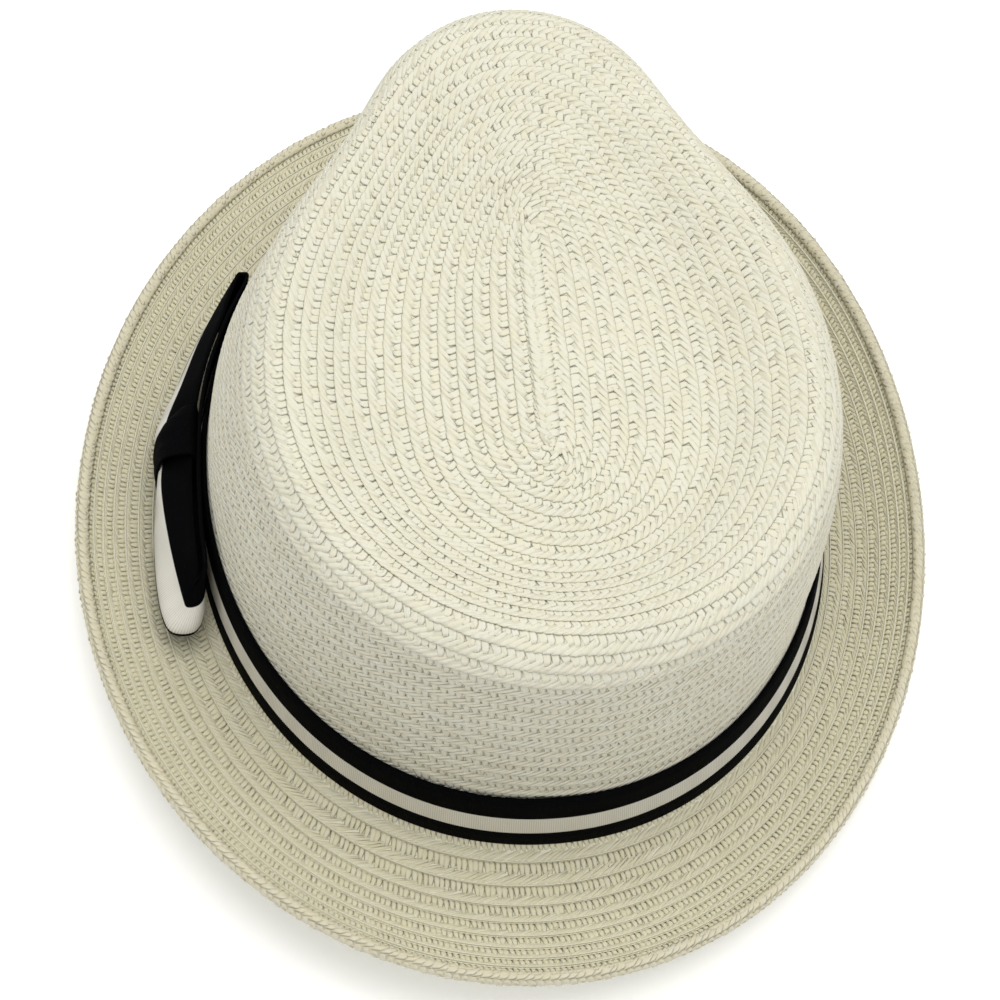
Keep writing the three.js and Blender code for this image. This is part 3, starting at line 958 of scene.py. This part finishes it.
def ribbon_material(ribbon, name, striped):
    """Grosgrain: fine ribs across the ribbon, black with a cream stripe along it."""
    material, board = new_board(name)
    uv = board.node("ShaderNodeUVMap", {"uv_map": "ribbon"}, None, "UV")
    split = board.tree.nodes.new("ShaderNodeSeparateXYZ")
    board.tree.links.new(uv.socket, split.inputs[0])
    along, across = Wire(board, split.outputs[0]), Wire(board, split.outputs[1])
    rib = board.math("SINE", along * (TURN / (ribbon.rib / MM)))
    fuzz = object_noise(board, 2600.0, 3.0)
    cloud = object_noise(board, 90.0)
    lit = rgba(scaled(ribbon.black, 1.7))
    base = board.mix(rib * 0.22 + fuzz * 0.5 + 0.05, rgba(ribbon.black), lit)
    if striped:
        shaded = rgba(scaled(ribbon.cream, 0.66))
        cream = board.mix(rib * 0.3 + fuzz * 0.4 + 0.35, shaded, rgba(ribbon.cream))
        ragged = across + (rib - 0.5) * 0.004
        inside = (ragged > ribbon.stripe_low) * (ragged < ribbon.stripe_high)
        base = board.mix(inside, base, cream)
    bump = raised(board, rib * 0.5 + fuzz * 0.5, 0.3, 0.1)
    principled(base, 0.78 + cloud * 0.15, 0.0, bump, board, RIBBON_SPECULAR)
    return material


def face_normals(front):
    """Normals of a closed ribbon's outer face, given as columns along it and rows up it."""
    along = np.roll(front, -1, axis=0) - np.roll(front, 1, axis=0)
    return unit(np.cross(along, np.gradient(front, axis=1)))


def rib_wave(ribs, relief):
    """Height of each point along a ribbon: one point on a rib, the next in its groove."""
    return np.where(np.arange(2 * ribs) % 2 == 0, 1, -1) * relief / MM


def ribbon_piece(name, front, thickness, material):
    """Closed ribbon from the points of its outer face: columns along it, rows up it."""
    columns, rows = front.shape[:2]
    back = front - face_normals(front) * thickness
    ring = np.concatenate([front, back[:, ::-1]], axis=1)
    size = 2 * rows
    faces, coords = [], []
    middle = front[:, rows // 2]
    nxt = np.roll(middle, -1, axis=0)
    reach = np.concatenate([[0], np.cumsum(np.linalg.norm(nxt - middle, axis=-1))])
    shares = np.concatenate([np.linspace(0, 1, rows), np.full(rows, PLAIN_BACK)])
    for i in range(columns):
        n = (i + 1) % columns
        for k in range(size):
            m = (k + 1) % size
            faces.append((i * size + k, n * size + k, n * size + m, i * size + m))
            low, high = (shares[k], shares[m]) if k < rows - 1 else (PLAIN_BACK, PLAIN_BACK)
            coords += [(reach[i], low), (reach[i + 1], low), (reach[i + 1], high), (reach[i], high)]
    piece = new_piece(name, ring.reshape(-1, 3), faces, material)
    layer = piece.data.uv_layers.new(name="ribbon")
    layer.data.foreach_set("uv", np.array(coords, np.float32).ravel())
    return piece


def resampled_loop(points, count):
    """Points at equal distances, by their first two numbers, along a closed line of points."""
    line = np.concatenate([points, points[:1]])
    steps = np.linalg.norm(np.diff(line[:, :2], axis=0), axis=-1)
    lengths = np.concatenate([[0], np.cumsum(steps)])
    goal = np.linspace(0, lengths[-1], count, endpoint=False)
    return np.column_stack([np.interp(goal, lengths, line[:, k]) for k in range(line.shape[1])])


def within_row(points, surface, row):
    """Which points lie nearer to the core than a row of the crown, seen from above."""

    def polar(places):
        x, y = places[:, 0] - CORE_X, places[:, 1] - CORE_Y
        return np.arctan2(x, -y) % TURN, np.hypot(x, y)

    turn, reach = polar(points)
    row_turn, row_reach = polar(surface.at(np.full(ANGLES, row), angles()))
    order = np.argsort(row_turn)
    return reach < np.interp(turn, row_turn[order], row_reach[order], period=TURN)


class TRILBY_OT_crown(bpy.types.Operator):
    """Lay the braid of the crown from the core over the rim to the ribbon"""

    bl_idname = "trilby.crown"
    bl_label = "Crown braid"

    def execute(self, context):
        braid = context.scene.trilby_braid
        surface = crown_surface(braid.tip_rows, braid.wall_rows)
        rows = braid.tip_rows + braid.wall_rows
        # The tip's straw takes the lit tint; the darker colour of the gaps, the shell and the core strip is
        # painted shade
        straw = straw_material(braid, "crown straw", LIT_STRAW_TINT)
        gap = gap_material(braid, "crown gap")
        strands = Strands(surface, braid, flat_from=braid.tip_rows + 1)
        t = np.linspace(0, TURN * (rows - 1), PATH_SAMPLES * (rows - 1))

        def above_ribbon(points):
            return points[:, 2] > BRAID_FLOOR

        strands.add_row(t, spiral_row(t), above_ribbon)
        strip = core_strip(strands, gap)
        start = strands.fields()[0]
        on_tip = within_row(start, surface, braid.tip_rows + SHOULDER_ROWS) & (start[:, 2] > TIP_FLOOR)
        tip = laid_braid("crown_tip_braid", strands, on_tip, straw, braid.seed, True, 1.0)
        # The wall's straw takes a darker, greyer tint as painted shade
        shaded_wall_straw = straw_material(braid, "wall straw", WALL_SHADE_TINT)
        wall = laid_braid("crown_wall_braid", strands, ~on_tip, shaded_wall_straw, braid.seed + 1)
        every = slice(None, None, LEVELS_PER_ROW)
        core = surface.grid[every, ::2]
        normals = surface.normals[every, ::2]
        outside, inside = core - normals * braid.sink / MM, core - normals * STRAW_THICKNESS
        body = shell("crown_wall", outside, inside, gap)
        tape = braid_tape("crown_tape", strands.tapes, gap)
        for piece in (body, tip, wall, tape, strip):
            finished(piece, "straw_braid", "crown")
        return {"FINISHED"}


class TRILBY_OT_brim(bpy.types.Operator):
    """Lay the braid of the brim on both faces and roll its edge"""

    bl_idname = "trilby.brim"
    bl_label = "Brim braid"

    def execute(self, context):
        braid = context.scene.trilby_braid
        # Painted shade: the brim's gaps a little lighter than the crown's, the brim and its edge roll in
        # darker, yellower tints; the row edges in the lit tint
        gap = gap_material(braid, "brim gap", BRIM_GAP_SHADE_LIFT)
        straw = straw_material(braid, "brim straw", BRIM_SHADE_TINT)
        pale = straw_material(braid, "edge straw", EDGE_ROLL_SHADE_TINT)
        plain = straw_material(braid, "row edge straw", LIT_STRAW_TINT, False)
        top = brim_surface(braid.brim_rows)
        t = np.linspace(0, TURN, PATH_SAMPLES)
        upper = Strands(top.moved(-braid.sink / MM * BRAID_SEAT), braid, pitch=braid.brim_pitch)
        under = Strands(top.moved(-STRAW_THICKNESS + UNDER_DEPTH), braid, -1)
        under.surface.normals = -top.normals
        for row in range(braid.brim_rows):
            upper.add_row(t, np.full(len(t), row + 0.5))
            under.add_row(t, np.full(len(t), row + 0.5), step=braid.under_step / MM)
        whole = slice(None)
        pieces = [laid_braid("brim_top_braid", upper, whole, straw, braid.seed + 2)]
        pieces.append(laid_braid("brim_under_braid", under, whole, straw, braid.seed + 3))
        pieces.append(row_edges("brim_row_edges", upper, plain))
        pieces.append(braid_tape("brim_top_tape", upper.tapes, gap))
        pieces.append(braid_tape("brim_under_tape", under.tapes, gap))
        roll = lip_surface(top, braid.lip / MM)
        lip = Strands(roll.moved(-braid.height / MM * BRAID_SEAT), braid)
        for row in range(2):
            lip.add_row(t, np.full(len(t), row + 0.5), None, ROLL_OUTER, ROLL_INNER, 0.0)
        pieces.append(laid_braid("brim_edge_braid", lip, whole, pale, braid.seed + 4))
        grid, normals = top.grid[::3, ::2], top.normals[::3, ::2]
        depth = STRAW_THICKNESS - UNDER_DEPTH - SHELL_CLEARANCE
        pieces.append(shell("brim_wall", grid - normals * SHELL_DEPTH, grid - normals * depth, gap))
        tube = roll.moved(-braid.height / MM * ROLL_SEAT).grid[:, ::2]
        pieces.append(shell("brim_edge_core", tube, tube * 0.5 + tube.mean(axis=0) * 0.5, pale))
        for piece in pieces:
            finished(piece, "straw_braid", "brim")
        return {"FINISHED"}


class TRILBY_OT_band(bpy.types.Operator):
    """Stretch the striped ribbon around the foot of the crown"""

    bl_idname = "trilby.band"
    bl_label = "Ribbon band"

    def execute(self, context):
        ribbon = context.scene.trilby_ribbon
        dense = np.linspace(0, TURN, PATH_SAMPLES * 2, endpoint=False)
        foot = crown_section("foot", dense)
        step = np.roll(foot, -1, axis=0) - foot
        lengths = np.concatenate([[0], np.cumsum(np.linalg.norm(step, axis=-1))])
        ribs = int(round(lengths[-1] * MM / ribbon.rib))
        t = np.interp(np.arange(2 * ribs) / (2 * ribs) * lengths[-1], lengths, np.append(dense, TURN))
        tangent = crown_section("foot", t + 0.01) - crown_section("foot", t - 0.01)
        out = unit(np.column_stack([tangent[:, 1], -tangent[:, 0], np.zeros(len(t))]))
        shares = np.linspace(0, 1, BAND_ROWS)
        stops = BAND_SHARES[0] + (BAND_SHARES[1] - BAND_SHARES[0]) * shares
        rows = crown_profile(t, stops)
        wave = rib_wave(ribs, ribbon.relief)
        front = []
        for share, points in zip(shares, rows):
            low = (1 - share) ** 3
            belly = BAND_BELLY * math.sin(math.pi * share)
            points = points - np.array([0, 0, BAND_DROP * low])
            distance = SEAT_GAP + BAND_LIFT * share + ribbon.thickness / MM + BAND_FLARE * low + belly + wave
            front.append(points + out * distance[:, None])
        front = np.array(front).transpose(1, 0, 2)
        material = ribbon_material(ribbon, "striped grosgrain", True)
        piece = ribbon_piece("ribbon_band", front, ribbon.thickness / MM, material)
        finished(piece, "striped_ribbon", "band")
        return {"FINISHED"}


def bow_place(points):
    """From the bow's own plane, which leans with the wall, to the hat."""
    foot, top = (crown_section(name, np.array([math.pi / 2]))[0] for name in ("foot", "ribbon top"))
    lean = math.atan2(foot[0] - top[0], top[2] - foot[2])
    seat = foot[0] + SEAT_GAP + BOW_SEAT + foot[2] * math.tan(lean)
    x, y, z = points[..., 0], points[..., 1], points[..., 2]
    return np.stack([
        x * math.cos(lean) - z * math.sin(lean) + seat,
        y + BOW_CENTRE_Y,
        x * math.sin(lean) + z * math.cos(lean),
    ], axis=-1)


def bow_path():
    """Closed path of the folded ribbon: x and y of each of its four levels."""
    outer, inner = [], []
    for fold in BOW_FOLDS:
        places = [fold["at"] + push for push in fold["push"]]
        near = np.interp(BOW_LEVELS, (0, 1), fold["inner"])
        outer.append(np.column_stack([fold["outer"], places]))
        inner.append(np.column_stack([near, places]))

    def end(fold, share, reach):
        """Where the ribbon turns at an end of the bow, a share of the way from outer to inner layer."""
        turn = outer[fold] * (1 - share) + inner[fold] * share
        turn[:, 1] += math.copysign(reach, BOW_FOLDS[fold]["at"]) * np.array(BOW_END_BULGE)
        return turn

    rear = [end(-1, share, REAR_REACH) for share in REAR_TURNS]
    folds = [*outer, *rear, *inner[::-1], end(0, FRONT_TURN, FRONT_REACH)]
    points = [levels[[1, 0, 2, 3]].ravel() for levels in folds]
    fine = []
    for i in range(len(points)):
        for share in np.linspace(0, 1, BOW_STEPS, endpoint=False):
            fine.append(smooth_step(points, i, share, True, 2))
    return np.array(fine)


def bow_levels(line):
    """Points of the ribbon's four levels, each as far up as the ribbon's width allows."""
    flat = line.reshape(len(line), 4, 2)[:, [1, 0, 2, 3]]
    height = np.full(len(line), BOW_FOOT)
    levels = [np.column_stack([flat[:, 0], height])]
    for k in range(1, 4):
        width = BOW_HEIGHT * (BOW_LEVELS[k] - BOW_LEVELS[k - 1])
        lean = np.linalg.norm(flat[:, k] - flat[:, k - 1], axis=-1)
        height = height + np.sqrt(np.maximum(width**2 - lean**2, (STEEPEST_LEVEL * width) ** 2))
        levels.append(np.column_stack([flat[:, k], height]))
    return levels


class TRILBY_OT_bow(bpy.types.Operator):
    """Fold the ribbon into two loops and wrap the knot around their middle"""

    bl_idname = "trilby.bow"
    bl_label = "Side bow"

    def execute(self, context):
        ribbon = context.scene.trilby_ribbon
        striped = bpy.data.materials["striped grosgrain"]
        path = bow_path()
        length = np.linalg.norm((np.roll(path, -1, axis=0) - path)[:, :2], axis=-1).sum()
        ribs = int(round(length * MM / ribbon.rib))
        levels = bow_levels(resampled_loop(path, 2 * ribs))
        front = []
        for share in np.linspace(0, 1, BOW_ROWS):
            k = min(int(np.searchsorted(BOW_LEVELS, share, "right")) - 1, 2)
            part = (share - BOW_LEVELS[k]) / (BOW_LEVELS[k + 1] - BOW_LEVELS[k])
            front.append(smooth_step(levels, k, part))
        front = np.array(front).transpose(1, 0, 2)
        proud = ribbon.thickness / MM / 2 + rib_wave(ribs, ribbon.relief)
        front = bow_place(front + face_normals(front) * proud[:, None, None])
        loops = ribbon_piece("bow_ribbon", front, ribbon.thickness / MM, striped)
        finished(loops, "striped_ribbon", "bow_loops")
        self.knot(ribbon)
        return {"FINISHED"}

    def knot(self, ribbon):
        """Wraps the black ribbon once around the layers of the bow."""
        foot, top = KNOT_RING[0][1], KNOT_RING[-2][1]
        ring = np.array([(SEAT_GAP + x, z, 0.0) for x, z in KNOT_RING])
        for _ in range(KNOT_CUTS):
            after = np.roll(ring, -1, axis=0)
            ring = np.stack([ring * 0.75 + after * 0.25, ring * 0.25 + after * 0.75], axis=1).reshape(-1, 3)
        ring = resampled_loop(ring, KNOT_POINTS)
        outward = np.roll(ring, -1, axis=0) - np.roll(ring, 1, axis=0)
        outward = unit(np.column_stack([outward[:, 1], -outward[:, 0]]))
        waist = 1 - KNOT_WAIST * np.exp(-(((ring[:, 1] - (foot + top) / 2) / WAIST_SPREAD) ** 2))
        clear = np.clip((ring[:, 0] - 1) / 4, 0, 1)
        front = []
        for share in np.linspace(-0.5, 0.5, KNOT_ROWS):
            fade = math.exp(-((share / PLEAT_SPREAD) ** 4))
            pleat = (PLEAT_DEPTH * math.cos(share * PLEATS * TURN) * fade - KNOT_ROUNDING * share**2) * clear
            taper = 1 - KNOT_TAPER * max((share - TAPER_START) / (0.5 - TAPER_START), 0) ** TAPER_POWER
            front.append(np.column_stack([
                SEAT_GAP + (ring[:, 0] - SEAT_GAP) * taper + outward[:, 0] * pleat,
                -share * KNOT_LENGTH * waist - KNOT_SHIFT,
                ring[:, 1] + outward[:, 1] * pleat,
            ]))
        front = bow_place(np.array(front).transpose(1, 0, 2))
        material = ribbon_material(ribbon, "black grosgrain", False)
        piece = ribbon_piece("bow_knot_wrap", front, ribbon.thickness / MM, material)
        finished(piece, "black_ribbon", "bow_knot")


class TRILBY_OT_stage(bpy.types.Operator):
    """Set the floor, the light and the camera"""

    bl_idname = "trilby.stage"
    bl_label = "Stage"

    def execute(self, context):
        scene = context.scene
        stage = scene.trilby_stage
        corners = [(x * FLOOR_HALF, y * FLOOR_HALF, 0) for x, y in ((-1, -1), (1, -1), (1, 1), (-1, 1))]
        material, board = new_board("pale floor")
        cloud = object_noise(board, 3.0)
        pale = board.mix(cloud, rgba(scaled(stage.floor, 0.985)), rgba(stage.floor))
        shader = principled(pale, 0.9, 0.0, None, board)
        shader.inputs["Emission Color"].default_value = rgba(stage.floor)
        shader.inputs["Emission Strength"].default_value = stage.glow
        floor = new_piece("floor", corners, [(0, 1, 2, 3)], material)
        self.light("key light", stage.key, KEY_PLACE, KEY_COLOUR)
        self.light("fill light", stage.fill, FILL_PLACE, FILL_COLOUR)
        world = bpy.data.worlds.new("studio")
        world.use_nodes = True
        sky = world.node_tree.nodes["Background"]
        sky.inputs["Color"].default_value = rgba(FILL_COLOUR)
        sky.inputs["Strength"].default_value = stage.sky
        scene.world = world
        scene.view_settings.view_transform = "Standard"
        self.camera(scene, stage)
        return {"FINISHED"}

    def light(self, name, power, place, colour):
        lamp = bpy.data.lights.new(name, "AREA")
        lamp.energy, lamp.size, lamp.color = power, LAMP_SIZE, colour
        holder = bpy.data.objects.new(name, lamp)
        holder.location = place
        aim = Vector(LAMP_TARGET) - Vector(place)
        holder.rotation_mode = "QUATERNION"
        holder.rotation_quaternion = aim.to_track_quat("-Z", "Y")
        bpy.context.scene.collection.objects.link(holder)

    def camera(self, scene, stage):
        lens = bpy.data.cameras.new("camera")
        lens.lens, lens.sensor_width = stage.lens, SENSOR_WIDTH
        holder = bpy.data.objects.new("camera", lens)
        eye = Vector(stage.eye)
        ahead = (Vector(stage.target) - eye).normalized()
        right = ahead.cross(Vector((0, 0, 1))).normalized()
        up = right.cross(ahead)
        turn = Matrix.Rotation(stage.roll, 3, -ahead)
        axes = Matrix((turn @ right, turn @ up, -ahead)).transposed()
        holder.matrix_world = Matrix.Translation(eye) @ axes.to_4x4()
        scene.collection.objects.link(holder)
        scene.camera = holder


class TRILBY_PT_sidebar(bpy.types.Panel):
    """Trilby tools in the 3D view's sidebar"""

    bl_idname = "TRILBY_PT_sidebar"
    bl_label = "Trilby"
    bl_space_type = "VIEW_3D"
    bl_region_type = "UI"
    bl_category = "Trilby"

    def draw(self, context):
        for group in (context.scene.trilby_braid, context.scene.trilby_ribbon, context.scene.trilby_stage):
            box = self.layout.box()
            for name in group.__annotations__:
                box.prop(group, name)
        for operator in OPERATORS:
            self.layout.operator(operator.bl_idname)


OPERATORS = (TRILBY_OT_stage, TRILBY_OT_crown, TRILBY_OT_brim, TRILBY_OT_band, TRILBY_OT_bow)
SETTINGS = {"trilby_braid": BraidSettings, "trilby_ribbon": RibbonSettings, "trilby_stage": StageSettings}
CLASSES = (*SETTINGS.values(), *OPERATORS, TRILBY_PT_sidebar)


def register():
    for item in CLASSES:
        bpy.utils.register_class(item)
    for name, group in SETTINGS.items():
        setattr(bpy.types.Scene, name, PointerProperty(type=group))


def unregister():
    for name in SETTINGS:
        delattr(bpy.types.Scene, name)
    for item in reversed(CLASSES):
        bpy.utils.unregister_class(item)


def main():
    register()
    bpy.ops.trilby.stage()
    bpy.ops.trilby.crown()
    bpy.ops.trilby.brim()
    bpy.ops.trilby.band()
    bpy.ops.trilby.bow()


if __name__ == "__main__":
    main()
